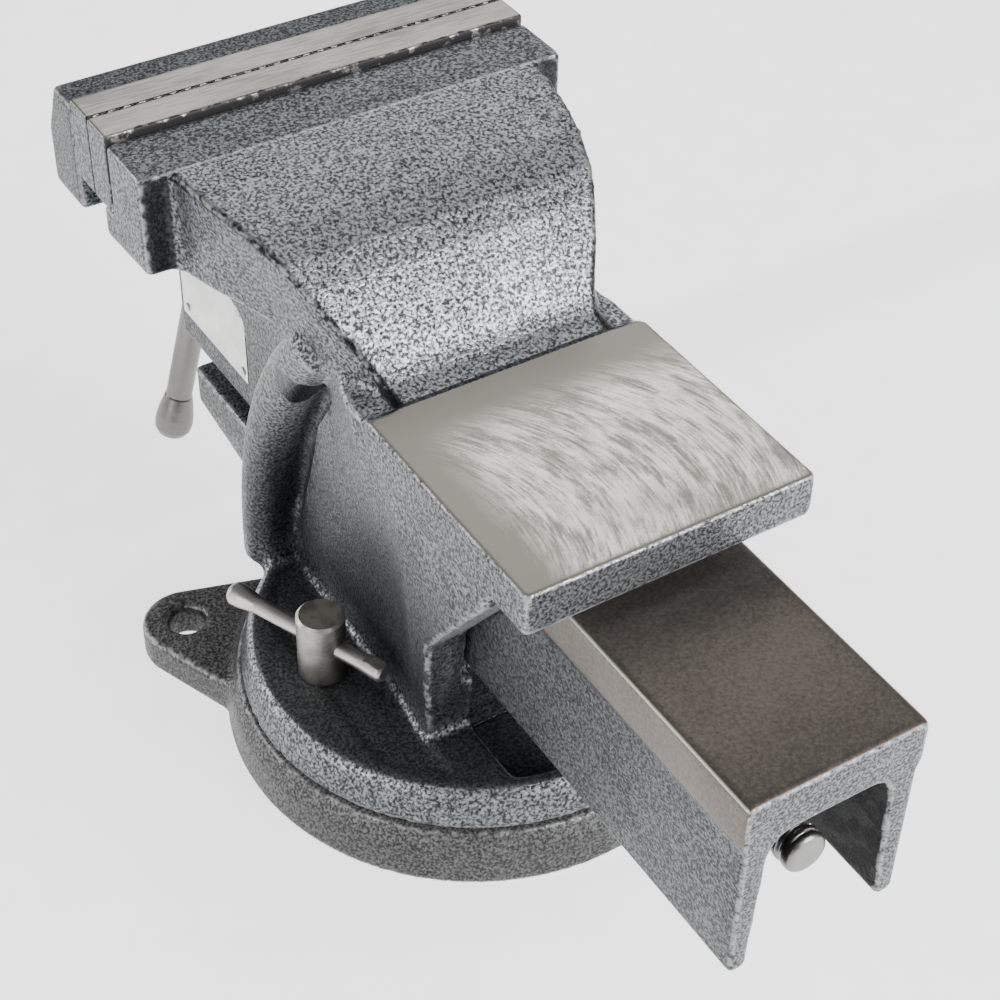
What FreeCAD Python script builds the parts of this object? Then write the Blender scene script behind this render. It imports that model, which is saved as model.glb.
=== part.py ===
import FreeCAD, Part
import math
import os

import Sketcher

# Bench vise with a swivel base, a flat anvil and an inverted-U slide.
# Frame: +Z up, +X to the right hand of a user who looks along -Y at the anvil end,
# -Y towards the main handle. Origin on the swivel axis, at the underside of the base.

V = FreeCAD.Vector
doc = FreeCAD.newDocument("bench_vise")
sheet = doc.addObject("Spreadsheet::Sheet", "Dims")


class Dim:
    """A length or angle that carries both its value and the formula it came from."""

    def __init__(self, value, text):
        self.value, self.text = value, text

    @staticmethod
    def of(item):
        return item if isinstance(item, Dim) else Dim(float(item), "(%s)" % repr(float(item)))

    def join(self, other, value, sign):
        return Dim(value, "(%s %s %s)" % (self.text, sign, Dim.of(other).text))

    def __add__(self, other):
        return self.join(other, self.value + Dim.of(other).value, "+")

    def __sub__(self, other):
        return self.join(other, self.value - Dim.of(other).value, "-")

    def __mul__(self, other):
        return self.join(other, self.value * Dim.of(other).value, "*")

    def __truediv__(self, other):
        return self.join(other, self.value / Dim.of(other).value, "/")

    def __neg__(self):
        return Dim(-self.value, "(-1 * %s)" % self.text)

    def __radd__(self, other):
        return Dim.of(other) + self

    def __rsub__(self, other):
        return Dim.of(other) - self

    def __rmul__(self, other):
        return Dim.of(other) * self


# name, value, meaning (millimetres and degrees)
TABLE = [
    ("base_radius", 85.5, "radius of the base at the bench"),
    ("rim_radius", 83.7, "radius at the top of the base rim"),
    ("rim_height", 13.0, "height of the base rim"),
    ("seam_radius", 80.4, "radius of the base at the swivel joint"),
    ("base_height", 20.0, "height of the swivel joint face"),
    ("pivot_radius", 15.0, "radius of the pivot hole in the base"),
    ("slot_radius", 55.3, "middle radius of the ring slot for the lock bolts"),
    ("slot_neck", 13.0, "width of the ring slot at its mouth"),
    ("slot_wide", 22.0, "width of the ring slot below its mouth"),
    ("slot_floor", 4.0, "height of the ring slot floor"),
    ("slot_lip", 12.0, "height of the underside of the slot lips"),
    ("lug_reach", 103.0, "distance of each bench bolt hole from the swivel axis"),
    ("lug_angle", -43.0, "direction of the first lug"),
    ("lug_radius", 15.5, "radius of the lug end"),
    ("lug_height", 14.0, "thickness of the lugs"),
    ("lug_hole_radius", 6.5, "radius of the bench bolt holes"),
    ("plate_low_radius", 79.6, "radius of the swivel plate at the joint"),
    ("plate_top_radius", 76.0, "radius of the swivel plate at its top"),
    ("plate_top", 35.0, "height of the top of the swivel plate"),
    ("run", 0.05, "radial clearance of a running fit"),
    ("slip", 0.3, "clearance of the slide in its channel"),
    ("beam_half", 30.0, "half width of the machined strip of the slide"),
    ("beam_low_half", 28.8, "half width of the cast part of the slide"),
    ("beam_bottom", 64.0, "height of the underside of the slide"),
    ("beam_top", 132.8, "height of the top of the slide"),
    ("strip_low", 117.0, "lower edge of the machined strip"),
    ("beam_front", -160.7, "front end of the slide"),
    ("beam_tail", 177.3, "tail end of the slide"),
    ("cavity_front", -140.0, "front end of the hollow in the slide"),
    ("cavity_low_half", 22.9, "half width of the hollow at its mouth"),
    ("cavity_top_half", 20.6, "half width of the hollow below its roof"),
    ("cavity_roof", 116.4, "height of the roof of the hollow"),
    ("jaw_half", 75.0, "half width of the jaws"),
    ("jaw_top", 194.0, "height of the painted tops of the jaws"),
    ("jaw_bottom", 157.0, "height of the underside of the jaws"),
    ("jaw_meet", -108.0, "plane where the jaw plates meet"),
    ("plate_thick", 13.0, "thickness of a jaw plate"),
    ("plate_low", 169.0, "lower edge of the jaw plates"),
    ("plate_high", 196.5, "upper edge of the jaw plates"),
    ("jaw_back", -71.3, "back of the fixed jaw"),
    ("jaw_ledge", -102.5, "front of the ledge under the fixed jaw plate"),
    ("jaw_nose", -135.0, "front edge of the top of the moving jaw"),
    ("jaw_screw_x", 47.0, "distance of the jaw plate screws from the middle"),
    ("jaw_screw_z", 183.0, "height of the jaw plate screws"),
    ("jaw_screw_shank", 3.9, "shank radius of the jaw plate screws"),
    ("jaw_screw_head", 6.5, "head radius of the jaw plate screws"),
    ("jaw_screw_hex", 3.46, "corner radius of the hexagon in the jaw plate screws"),
    ("jaw_thread", 4.0, "radius of the threaded holes in the jaws"),
    ("plate_hole", 4.3, "radius of the through holes in the jaw plates"),
    ("plate_sink", 6.8, "radius of the sinks for the screw heads"),
    ("wall_half", 36.0, "outer half width of the channel walls"),
    ("cheek_half", 48.6, "outer half width under the anvil"),
    ("anvil_front", 17.0, "front edge of the anvil face"),
    ("anvil_back", 102.0, "rear edge of the anvil face"),
    ("anvil_top", 153.6, "height of the anvil face"),
    ("anvil_low", 138.5, "underside of the anvil overhang"),
    ("floor_top", 57.0, "height of the channel floor"),
    ("wall_front", -90.0, "front edge of the channel walls"),
    ("wall_back", 38.0, "rear foot of the channel walls"),
    ("chin_front", -147.0, "front end of the chin under the slide"),
    ("trough_half", 26.2, "half width of the trough behind the channel"),
    ("trough_floor", 28.0, "height of the trough floor"),
    ("trough_reach", 71.0, "radius of the rear end of the trough"),
    ("column_x", 42.0, "distance of the columns from the middle"),
    ("column_y", -68.0, "position of the foot of the columns along Y"),
    ("column_radius", 9.3, "radius of the columns"),
    ("column_bend", 162.0, "radius of the arc that the columns follow"),
    ("column_straight", 40.0, "height where the columns begin to bend"),
    ("column_turn", 45.0, "angle that the columns turn through"),
    ("lock_x", 55.0, "distance of the lock bolts from the middle"),
    ("lock_y", -6.0, "position of the lock bolts along Y"),
    ("lock_shank", 6.0, "shank radius of the lock bolts"),
    ("lock_head", 8.1, "head radius of the lock bolts"),
    ("lock_top", 60.0, "height of the top of the lock bolts"),
    ("lock_bar_z", 48.5, "height of the lock bars"),
    ("lock_bar_radius", 3.0, "radius of the lock bars"),
    ("screw_z", 90.0, "height of the lead screw axis"),
    ("screw_radius", 7.0, "outer radius of the screw thread"),
    ("screw_tail", 171.0, "rear end of the lead screw"),
    ("thread_front", -112.0, "front end of the thread"),
    ("journal_radius", 8.0, "radius of the screw in the slide's front wall"),
    ("head_radius", 16.5, "radius of the screw head"),
    ("head_front", -208.0, "front end of the screw head"),
    ("head_back", -171.0, "rear end of the screw head"),
    ("collar_back", -163.8, "rear face of the screw collar"),
    ("handle_y", -189.5, "position of the handle along Y"),
    ("handle_radius", 5.2, "radius of the handle bar"),
    ("handle_down", 99.0, "reach of the handle below the screw axis"),
    ("handle_tilt", 15.0, "lean of the handle away from the vertical"),
    ("cap_radius", 7.6, "largest radius of the handle caps"),
    ("cap_length", 17.0, "length of the handle caps"),
    ("cotter_y", -120.5, "position of the cotter pin along Y"),
    ("bolt_radius", 5.0, "shank radius of the bolt that holds the spindle nut"),
    ("bolt_head", 9.8, "corner radius of that bolt's head"),
    ("nut_front", -20.0, "front of the spindle nut"),
    ("nut_back", 18.0, "rear of the spindle nut"),
    ("nut_half", 17.0, "half width of the spindle nut"),
    ("name_front", -154.5, "front edge of the nameplate"),
    ("name_back", -103.6, "rear edge of the nameplate"),
    ("name_low", 77.5, "lower edge of the nameplate"),
    ("name_high", 109.8, "upper edge of the nameplate"),
]

DIM = {}
for row, (alias, value, meaning) in enumerate(TABLE, start=1):
    sheet.set("A%d" % row, alias)
    sheet.set("B%d" % row, str(value))
    sheet.set("C%d" % row, meaning)
    sheet.setAlias("B%d" % row, alias)
    DIM[alias] = Dim(value, "Dims." + alias)
doc.recompute()


def d(alias):
    return DIM[alias]


# --- helpers -------------------------------------------------------------------------

# plane role and the sign between its normal and the world axis it is square to
PLANES = {"XY": ("XY_Plane", 1), "XZ": ("XZ_Plane", -1), "YZ": ("YZ_Plane", 1)}


def new_body(label, at=None, turn=None):
    """A part of its own; at is its position, turn an axis and an angle."""
    body = doc.addObject("PartDesign::Body", label)
    body.Label = label
    if turn:
        axis, angle = turn
        body.Placement = FreeCAD.Placement(V(), FreeCAD.Rotation(axis, angle.value))
        body.setExpression("Placement.Rotation.Angle", angle.text)
    for letter, part in zip("xyz", at or ()):
        body.setExpression("Placement.Base." + letter, Dim.of(part).text)
    return body


def pin(sketch, geo, point, x, y):
    """Fix one point of a sketch at driven coordinates."""
    for kind, part in (("DistanceX", x), ("DistanceY", y)):
        number = sketch.addConstraint(Sketcher.Constraint(kind, -1, 1, geo, point, part.value))
        sketch.setExpression("Constraints[%d]" % number, part.text)


def add_loop(sketch, corners):
    """A closed polygon through driven corners."""
    points = [(Dim.of(x), Dim.of(y)) for x, y in corners]
    first = sketch.GeometryCount
    for i, (x, y) in enumerate(points):
        nx, ny = points[(i + 1) % len(points)]
        sketch.addGeometry(Part.LineSegment(V(x.value, y.value, 0), V(nx.value, ny.value, 0)), False)
    for i, (x, y) in enumerate(points):
        after = first + (i + 1) % len(points)
        sketch.addConstraint(Sketcher.Constraint("Coincident", first + i, 2, after, 1))
        pin(sketch, first + i, 1, x, y)


def add_circle(sketch, x, y, radius):
    """A circle with a driven centre and radius."""
    x, y, radius = Dim.of(x), Dim.of(y), Dim.of(radius)
    geo = sketch.addGeometry(Part.Circle(V(x.value, y.value, 0), V(0, 0, 1), radius.value), False)
    number = sketch.addConstraint(Sketcher.Constraint("Radius", geo, radius.value))
    sketch.setExpression("Constraints[%d]" % number, radius.text)
    pin(sketch, geo, 3, x, y)


def new_sketch(body, plane, level, shapes, spin=None):
    """A sketch parallel to an origin plane; level is where it cuts the world axis."""
    role, sign = PLANES[plane]
    sketch = body.newObject("Sketcher::SketchObject", body.Name + "_sketch")
    origin_plane = [f for f in body.Origin.OriginFeatures if f.Role == role][0]
    sketch.AttachmentSupport = [(origin_plane, "")]
    sketch.MapMode = "FlatFace"
    if spin:
        sketch.AttachmentOffset = FreeCAD.Placement(V(), FreeCAD.Rotation(V(0, 0, 1), spin.value))
        sketch.setExpression("AttachmentOffset.Rotation.Angle", spin.text)
    sketch.setExpression("AttachmentOffset.Base.z", (Dim.of(level) * sign).text)
    for shape in shapes:
        if shape[0] == "circle":
            add_circle(sketch, *shape[1:])
        else:
            add_loop(sketch, shape)
    sketch.Visibility = False
    return sketch


def finish(body, feature):
    body.Tip = feature
    doc.recompute()
    if feature.Shape.isNull() or "Invalid" in feature.State or "Error" in feature.State:
        raise RuntimeError("%s failed in %s" % (feature.Name, body.Label))
    return feature


def pad(body, plane, start, end, *shapes, spin=None):
    """Material between two levels of the world axis, end greater than start."""
    start, end = Dim.of(start), Dim.of(end)
    feature = body.newObject("PartDesign::Pad", body.Name + "_pad")
    feature.Profile = new_sketch(body, plane, start, shapes, spin)
    feature.Reversed = PLANES[plane][1] < 0
    feature.setExpression("Length", (end - start).text)
    return finish(body, feature)


def pocket(body, plane, start, end, *shapes, spin=None):
    """A cut between two levels of the world axis, end greater than start."""
    start, end = Dim.of(start), Dim.of(end)
    before = body.Tip.Shape.Volume
    feature = body.newObject("PartDesign::Pocket", body.Name + "_pocket")
    feature.Profile = new_sketch(body, plane, start, shapes, spin)
    feature.Reversed = PLANES[plane][1] > 0
    feature.setExpression("Length", (end - start).text)
    finish(body, feature)
    if feature.Shape.Volume > before - 1e-3:
        raise RuntimeError("a cut in %s removed nothing" % body.Label)
    return feature


def revolve(body, plane, axis, *shapes):
    """A solid of revolution about the sketch's own H or V axis."""
    feature = body.newObject("PartDesign::Revolution", body.Name + "_revolve")
    sketch = new_sketch(body, plane, 0, shapes)
    feature.Profile = sketch
    feature.ReferenceAxis = (sketch, [axis])
    feature.Angle = 360
    return finish(body, feature)


def bend(body, plane, level, axis_y, angle, *shapes):
    """Material that sweeps from a level plane round a line parallel to X at axis_y."""
    feature = body.newObject("PartDesign::Revolution", body.Name + "_bend")
    sketch = new_sketch(body, plane, level, shapes)
    axis_y = Dim.of(axis_y)
    line = sketch.addGeometry(Part.LineSegment(V(0, axis_y.value, 0), V(50, axis_y.value, 0)), True)
    sketch.addConstraint(Sketcher.Constraint("Horizontal", line))
    pin(sketch, line, 1, Dim.of(0), axis_y)
    feature.Profile = sketch
    feature.ReferenceAxis = (sketch, ["Axis0"])
    feature.Reversed = True
    feature.setExpression("Angle", angle.text)
    return finish(body, feature)


def loft(body, plane, sections, cut=False):
    """Material through sections, each a level and one closed shape."""
    kind = "PartDesign::SubtractiveLoft" if cut else "PartDesign::AdditiveLoft"
    feature = body.newObject(kind, body.Name + "_loft")
    sketches = [new_sketch(body, plane, level, [shape]) for level, shape in sections]
    feature.Profile = sketches[0]
    feature.Sections = sketches[1:]
    feature.Ruled = True
    return finish(body, feature)


def dress(body, kind, size, wanted):
    """Round or bevel the edges that wanted() picks from the body's present shape."""
    base = body.Tip
    names = ["Edge%d" % (i + 1) for i, edge in enumerate(base.Shape.Edges) if wanted(edge)]
    if not names:
        raise RuntimeError("no edge to dress on %s" % body.Label)
    feature = body.newObject("PartDesign::" + kind, body.Name + "_" + kind.lower())
    feature.Base = (base, names)
    if kind == "Fillet":
        feature.Radius = size
    else:
        feature.Size = size
    return finish(body, feature)


def mirror(body, feature):
    """Repeat a feature on the other side of the YZ plane."""
    copy = body.newObject("PartDesign::Mirrored", body.Name + "_mirror")
    plane = [f for f in body.Origin.OriginFeatures if f.Role == "YZ_Plane"][0]
    copy.Originals = [feature]
    copy.MirrorPlane = (plane, [""])
    return finish(body, copy)


def repeat_round(body, features, count):
    """Repeat features about the Z axis."""
    pattern = body.newObject("PartDesign::PolarPattern", body.Name + "_pattern")
    axis = [f for f in body.Origin.OriginFeatures if f.Role == "Z_Axis"][0]
    pattern.Originals = features
    pattern.Axis = (axis, [""])
    pattern.Angle = 360
    pattern.Occurrences = count
    return finish(body, pattern)


def box(x0, x1, y0, y1):
    return [(x0, y0), (x1, y0), (x1, y1), (x0, y1)]


def along(edge, axis):
    """True for a straight edge parallel to a world axis."""
    if edge.Curve.TypeId != "Part::GeomLine":
        return False
    way = edge.Vertexes[-1].Point - edge.Vertexes[0].Point
    return abs(way.normalize().dot(axis)) > 0.999


# --- swivel base ---------------------------------------------------------------------

base = new_body("swivel_base")
neck_in, neck_out = d("slot_radius") - d("slot_neck") / 2, d("slot_radius") + d("slot_neck") / 2
wide_in, wide_out = d("slot_radius") - d("slot_wide") / 2, d("slot_radius") + d("slot_wide") / 2
revolve(base, "XZ", "V_Axis", [
    (d("pivot_radius"), 0), (d("base_radius"), 0), (d("rim_radius"), d("rim_height")),
    (d("rim_radius") - 1.3, d("rim_height") + 3), (d("seam_radius"), d("base_height")),
    (neck_out, d("base_height")), (neck_out, d("slot_lip")), (wide_out, d("slot_lip")),
    (wide_out, d("slot_floor")), (wide_in, d("slot_floor")), (wide_in, d("slot_lip")),
    (neck_in, d("slot_lip")), (neck_in, d("base_height")), (d("pivot_radius"), d("base_height"))])
# the T-nuts drop into the ring slot through this mouth
pocket(base, "XY", d("slot_floor"), d("base_height") + 1,
       box(-11.5, 11.5, wide_in + 0.4, wide_out - 0.4))

lug_wedge = pad(base, "XY", 0, d("lug_height"),
                [(70, -33), (d("lug_reach") + 6.6, -14.0), (d("lug_reach") + 6.6, 14.0), (70, 33)],
                spin=d("lug_angle"))
lug_end = pad(base, "XY", 0, d("lug_height"), ("circle", d("lug_reach"), 0, d("lug_radius")),
              spin=d("lug_angle"))
repeat_round(base, [lug_wedge, lug_end], 2)
lug_hole = pocket(base, "XY", 0, d("lug_height"), ("circle", d("lug_reach"), 0, d("lug_hole_radius")),
                  spin=d("lug_angle"))
repeat_round(base, [lug_hole], 2)

# --- fixed body: swivel plate, channel, anvil and fixed jaw in one casting -------------

body = new_body("fixed_body")
revolve(body, "XZ", "V_Axis", [
    (0, 6), (d("pivot_radius") - d("run"), 6), (d("pivot_radius") - d("run"), d("base_height")),
    (d("plate_low_radius"), d("base_height")), (d("plate_low_radius") - 0.6, d("base_height") + 5),
    (d("plate_top_radius") + 0.8, d("plate_top") - 2.5), (d("plate_top_radius") - 1.6, d("plate_top")),
    (0, d("plate_top"))])
# middle block with the sloping rear, seen from the side
pad(body, "YZ", -d("wall_half"), d("wall_half"), [
    (d("wall_front"), 30), (d("wall_back"), 30), (42, 60), (45, 84), (80, 130), (84, d("anvil_low") + 4),
    (30, d("anvil_top") - 3), (d("jaw_back") + 10, 156), (d("jaw_ledge"), d("jaw_bottom") + 4),
    (d("jaw_ledge"), 119), (d("wall_front") - 2, 116), (d("wall_front"), 108)])
# deep valleys behind the columns
for side in (1, -1):
    low, high = sorted((side * 33.6, side * 40))
    pocket(body, "YZ", low, high, [
        (-68, 36), (-61.5, 36), (-49.5, 71), (-38.5, 98), (-31.5, 116), (-18, 137), (-27, 147),
        (-42, 142), (-54, 120), (-63, 92), (-68, 60)])
# bulged cheeks under the anvil
pad(body, "YZ", -d("cheek_half") + 0.6, d("cheek_half") - 0.6, [
    (-60, 33), (-48, 71), (-37, 98), (-30, 116), (-16, 137), (-30, 149.5), (-24, 152.5),
    (d("anvil_front") + 10, d("anvil_top") - 2), (84, d("anvil_low") + 4), (80, 130), (45, 84), (41, 60),
    (d("wall_back"), 33)])
# the cheeks lean in below the anvil, with a scoop in front of the thick rear end
CHEEK = [(-66, 35.6, 37.5, 40.0, 40.0), (-20, 37.0, 38.5, 41.0, 42.0), (8, 38.0, 40.0, 44.0, 49.5),
         (21, 38.8, 40.6, 45.0, 49.5), (33, 40.4, 44.6, 47.0, 49.5), (86, 43.0, 46.5, 48.4, 49.5)]
for side in (1, -1):
    loft(body, "XZ", [
        (y, [(side * foot, 34), (side * low, 80), (side * high, 112), (side * top, 153), (side * 60, 154),
             (side * 60, 34)]) for y, foot, low, high, top in CHEEK], cut=True)
# anvil
pad(body, "XY", d("anvil_low"), d("anvil_top"),
    box(-d("cheek_half"), d("cheek_half"), d("anvil_front"), d("anvil_back")))
# fixed jaw
plate_rear = d("jaw_meet") + d("plate_thick")
pad(body, "YZ", -d("jaw_half"), d("jaw_half"), [
    (d("jaw_ledge"), d("jaw_bottom")), (d("jaw_back"), d("jaw_bottom") + 2), (d("jaw_back"), d("jaw_top")),
    (plate_rear, d("jaw_top")), (plate_rear, d("plate_low") - 0.4), (d("jaw_ledge"), d("plate_low") - 0.4)])
# neck that runs down from the jaw to the anvil: level, top and bottom half widths, heights
NECK = [(-75, 65, 65, 194, 158), (-60, 63.5, 60.5, 193.7, 157), (-46, 61, 54.5, 192.4, 156),
        (-34, 58.2, 49, 190.4, 154), (-21.5, 54.2, 46, 186.4, 150), (-13.5, 50.4, 45, 180, 148),
        (-6, 46.2, 43, 172.2, 145), (0, 41.9, 41, 165.4, 143), (4.5, 38.9, 40, 159.2, 141),
        (9.5, 37.2, 39, 155, 140), (17, 36.6, 38, 153.4, 139)]
loft(body, "XZ", [(y, [(-low, zlow), (low, zlow), (top, ztop), (-top, ztop)])
                  for y, top, low, ztop, zlow in NECK])
# round columns beside the channel walls: straight at the foot, then an arc towards the anvil
column_circle = ("circle", d("column_x"), d("column_y"), d("column_radius"))
column_foot = pad(body, "XY", 33, d("column_straight"), column_circle)
mirror(body, column_foot)
column = bend(body, "XY", d("column_straight"), d("column_y") + d("column_bend"), d("column_turn"),
              column_circle)
mirror(body, column)
# chin under the slide
pad(body, "YZ", -31, 31, [(d("chin_front"), 41.4), (-115, 35.6), (-86, 30), (-60, 30), (-60, d("floor_top")),
                          (d("chin_front"), d("floor_top"))])
# channel for the slide, and the rails that carry it
channel_half = d("beam_half") + d("slip")
pocket(body, "XZ", -200, 200, box(-channel_half, channel_half, d("floor_top"), d("beam_top") + d("slip")))
pad(body, "XZ", -75, 36, box(-channel_half - 1, -24.5, d("floor_top") - 1, d("beam_bottom") - d("slip")),
    box(24.5, channel_half + 1, d("floor_top") - 1, d("beam_bottom") - d("slip")))
# trough behind the channel, closed by the rim of the swivel plate
pocket(body, "XY", d("trough_floor"), d("plate_top") + 0.1,
       box(-d("trough_half"), d("trough_half"), d("wall_back") - 1, 80))
revolve(body, "XZ", "V_Axis", [
    (d("trough_reach"), d("trough_floor") - 1), (d("plate_low_radius") - 1.2, d("trough_floor") - 1),
    (d("plate_top_radius") + 0.8, d("plate_top") - 2.5), (d("plate_top_radius") - 1.6, d("plate_top")),
    (d("trough_reach"), d("plate_top"))])
# casting cores under the channel floor, fore and aft of the pivot
pocket(body, "XY", d("base_height") - 0.1, d("floor_top") - 8, box(-30, 30, -74, -19), box(-30, 30, 19, 33))
# holes: lock bolts, spindle nut bolt, jaw plate screws
pocket(body, "XY", 15, 40, ("circle", d("lock_x"), d("lock_y"), d("lock_shank") + 0.4),
       ("circle", -d("lock_x"), d("lock_y"), d("lock_shank") + 0.4))
pocket(body, "XY", 5, 19, ("circle", 0, 0, 11.2))
pocket(body, "XY", 15, d("floor_top") + 1, ("circle", 0, 0, 5.4))
pocket(body, "XZ", d("jaw_meet"), -80, ("circle", d("jaw_screw_x"), d("jaw_screw_z"), d("jaw_thread")),
       ("circle", -d("jaw_screw_x"), d("jaw_screw_z"), d("jaw_thread")))

# --- moving jaw: head and inverted-U slide in one casting ------------------------------

jaw = new_body("moving_jaw")
pad(jaw, "XZ", d("beam_front"), d("beam_tail"), [
    (d("beam_half"), d("beam_top")), (-d("beam_half"), d("beam_top")), (-d("beam_half"), d("strip_low")),
    (-d("beam_low_half"), d("strip_low") - 1.2), (-d("beam_low_half"), d("beam_bottom")),
    (d("beam_low_half"), d("beam_bottom")), (d("beam_low_half"), d("strip_low") - 1.2),
    (d("beam_half"), d("strip_low"))])
# head, from the jaw bar down to the front of the slide: level, half width, front, rear
plate_back = d("jaw_meet") - d("plate_thick")
HEAD = [(126, 30, -160.6, -112), (140, 32.5, -159.5, -113), (152, 42, -156, -117), (164, 56, -150, -121),
        (178, 67, -142.5, -121), (194, 75, -135, -121)]
loft(jaw, "XY", [(z, [(-half, front), (half, front), (half, rear), (-half, rear)])
                 for z, half, front, rear in HEAD])
pad(jaw, "YZ", -d("jaw_half"), d("jaw_half"), [
    (plate_back, d("jaw_bottom") - 2), (plate_back, d("jaw_top")), (d("jaw_nose"), d("jaw_top")),
    (-143, 176), (-143, d("jaw_bottom") - 2)])
# hollow of the slide
pocket(jaw, "XZ", d("cavity_front"), d("beam_tail"), [
    (-d("cavity_low_half"), d("beam_bottom") - 1), (d("cavity_low_half"), d("beam_bottom") - 1),
    (d("cavity_top_half"), d("cavity_roof") - 7), (d("cavity_top_half") - 2.2, d("cavity_roof") - 2),
    (d("cavity_top_half") - 7, d("cavity_roof")), (-d("cavity_top_half") + 7, d("cavity_roof")),
    (-d("cavity_top_half") + 2.2, d("cavity_roof") - 2), (-d("cavity_top_half"), d("cavity_roof") - 7)])
dress(jaw, "Chamfer", 1.0, lambda e: along(e, V(0, 1, 0)) and e.BoundBox.ZMin > 132.7
      and e.BoundBox.ZMax < 132.9 and e.Length > 100)
pocket(jaw, "XZ", d("beam_front"), d("cavity_front"),
       ("circle", 0, d("screw_z"), d("journal_radius") + d("run")))
pocket(jaw, "XZ", -138, plate_back + 1, ("circle", d("jaw_screw_x"), d("jaw_screw_z"), d("jaw_thread")),
       ("circle", -d("jaw_screw_x"), d("jaw_screw_z"), d("jaw_thread")))

# --- jaw plates and their screws --------------------------------------------------------


def jaw_plate(label, start, mouth, side):
    """A jaw plate; its screw heads sink into the gripping face at mouth."""
    plate = new_body(label)
    pad(plate, "XZ", start, start + d("plate_thick"),
        box(-d("jaw_half"), d("jaw_half"), d("plate_low"), d("plate_high")))
    inner = min(mouth, mouth - side * 7.0, key=lambda item: item.value)
    pocket(plate, "XZ", start, start + d("plate_thick"),
           ("circle", d("jaw_screw_x"), d("jaw_screw_z"), d("plate_hole")),
           ("circle", -d("jaw_screw_x"), d("jaw_screw_z"), d("plate_hole")))
    pocket(plate, "XZ", inner, inner + 7.0, ("circle", d("jaw_screw_x"), d("jaw_screw_z"), d("plate_sink")),
           ("circle", -d("jaw_screw_x"), d("jaw_screw_z"), d("plate_sink")))
    dress(plate, "Chamfer", 0.6, lambda e: along(e, V(1, 0, 0)) and abs(e.Length - 150) < 1e-3)
    return plate


jaw_plate("fixed_jaw_plate", d("jaw_meet"), d("jaw_meet"), -1)
jaw_plate("moving_jaw_plate", plate_back, d("jaw_meet"), 1)


def cap_screws(label, side):
    """Two socket screws: heads in the plate, shanks in the casting, pointing along side."""
    feature_body = new_body(label)
    mouth = d("jaw_meet")
    spans = [(mouth + side * 0.8, mouth + side * 6.9, d("jaw_screw_head")),
             (mouth + side * 6.0, mouth + side * 27, d("jaw_screw_shank"))]
    for one, two, radius in spans:
        start, end = sorted((one, two), key=lambda item: item.value)
        pad(feature_body, "XZ", start, end, ("circle", d("jaw_screw_x"), d("jaw_screw_z"), radius),
            ("circle", -d("jaw_screw_x"), d("jaw_screw_z"), radius))
    start, end = sorted((mouth + side * 0.7, mouth + side * 4.8), key=lambda item: item.value)
    hexes = []
    for centre in (d("jaw_screw_x"), -d("jaw_screw_x")):
        hexes.append([(centre + d("jaw_screw_hex") * math.cos(math.radians(a)),
                       d("jaw_screw_z") + d("jaw_screw_hex") * math.sin(math.radians(a)))
                      for a in range(0, 360, 60)])
    pocket(feature_body, "XZ", start, end, *hexes)
    return feature_body


# --- lead screw and what holds it in the slide -------------------------------------------

screw = new_body("lead_screw", at=(0, 0, d("screw_z")))
revolve(screw, "YZ", "H_Axis", [
    (d("head_front"), 0), (d("head_front"), d("head_radius") - 3), (d("head_front") + 2.5, d("head_radius")),
    (d("head_back") - 2.5, d("head_radius")), (d("head_back"), d("head_radius") - 2.5),
    (-169, d("head_radius") - 2.5), (-169, 15.5), (d("collar_back"), 15.5),
    (d("collar_back"), d("journal_radius")), (d("thread_front") - 4, d("journal_radius")),
    (d("thread_front") - 3, d("screw_radius") - 1.4), (d("thread_front"), d("screw_radius") - 1.4),
    (d("thread_front") + 1, d("screw_radius")), (d("screw_tail") - 1.2, d("screw_radius")),
    (d("screw_tail"), d("screw_radius") - 1.2), (d("screw_tail"), 0)])
# hole for the handle, leaning with it, and the hole for the cotter pin
eye = screw.newObject("PartDesign::Pocket", "screw_eye")
eye_sketch = new_sketch(screw, "XY", 0, [("circle", 0, d("handle_y"), d("handle_radius") + 0.08)])
eye_sketch.AttachmentOffset = FreeCAD.Placement(V(), FreeCAD.Rotation(V(0, 1, 0), -DIM["handle_tilt"].value))
eye_sketch.setExpression("AttachmentOffset.Base.z", "0")
eye_sketch.setExpression("AttachmentOffset.Rotation.Angle", (-d("handle_tilt")).text)
eye.Profile = eye_sketch
eye.SideType = "Symmetric"
eye.Length = 60
finish(screw, eye)
pocket(screw, "XY", -10, 10, ("circle", 0, d("cotter_y"), 1.7))

washer = new_body("thrust_washer", at=(0, 0, d("screw_z")))
revolve(washer, "YZ", "H_Axis", box(d("collar_back"), d("beam_front"), d("journal_radius") + 0.3, 17.0))
inner_washer = new_body("spring_seat_washer", at=(0, 0, d("screw_z")))
revolve(inner_washer, "YZ", "H_Axis", box(d("cavity_front"), d("cavity_front") + 2.5,
                                          d("journal_radius") + 0.3, 14.0))
collar = new_body("spring_collar", at=(0, 0, d("screw_z")))
revolve(collar, "YZ", "H_Axis", box(-125.7, -122.4, d("journal_radius") + 0.3, 14.0))

# spring of round wire between the two washers
spring = new_body("thrust_spring", at=(0, 0, d("screw_z")))
coil = spring.newObject("PartDesign::AdditiveHelix", "spring_coil")
coil_sketch = new_sketch(spring, "YZ", 0, [("circle", -136.2, 11.2, 1.2)])
coil.Profile = coil_sketch
coil.ReferenceAxis = (coil_sketch, ["H_Axis"])
coil.Mode = 0
coil.Pitch = 3.1
coil.Height = 9.2
finish(spring, coil)

cotter = new_body("cotter_pin", at=(0, 0, d("screw_z")))
revolve(cotter, "XZ", "V_Axis", box(0, 1.6, -13, 12))
pad(cotter, "XY", 12, 15.5, ("circle", 0, 0, 1.8))
cotter.setExpression("Placement.Base.y", d("cotter_y").text)

# --- spindle nut ------------------------------------------------------------------------

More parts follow.
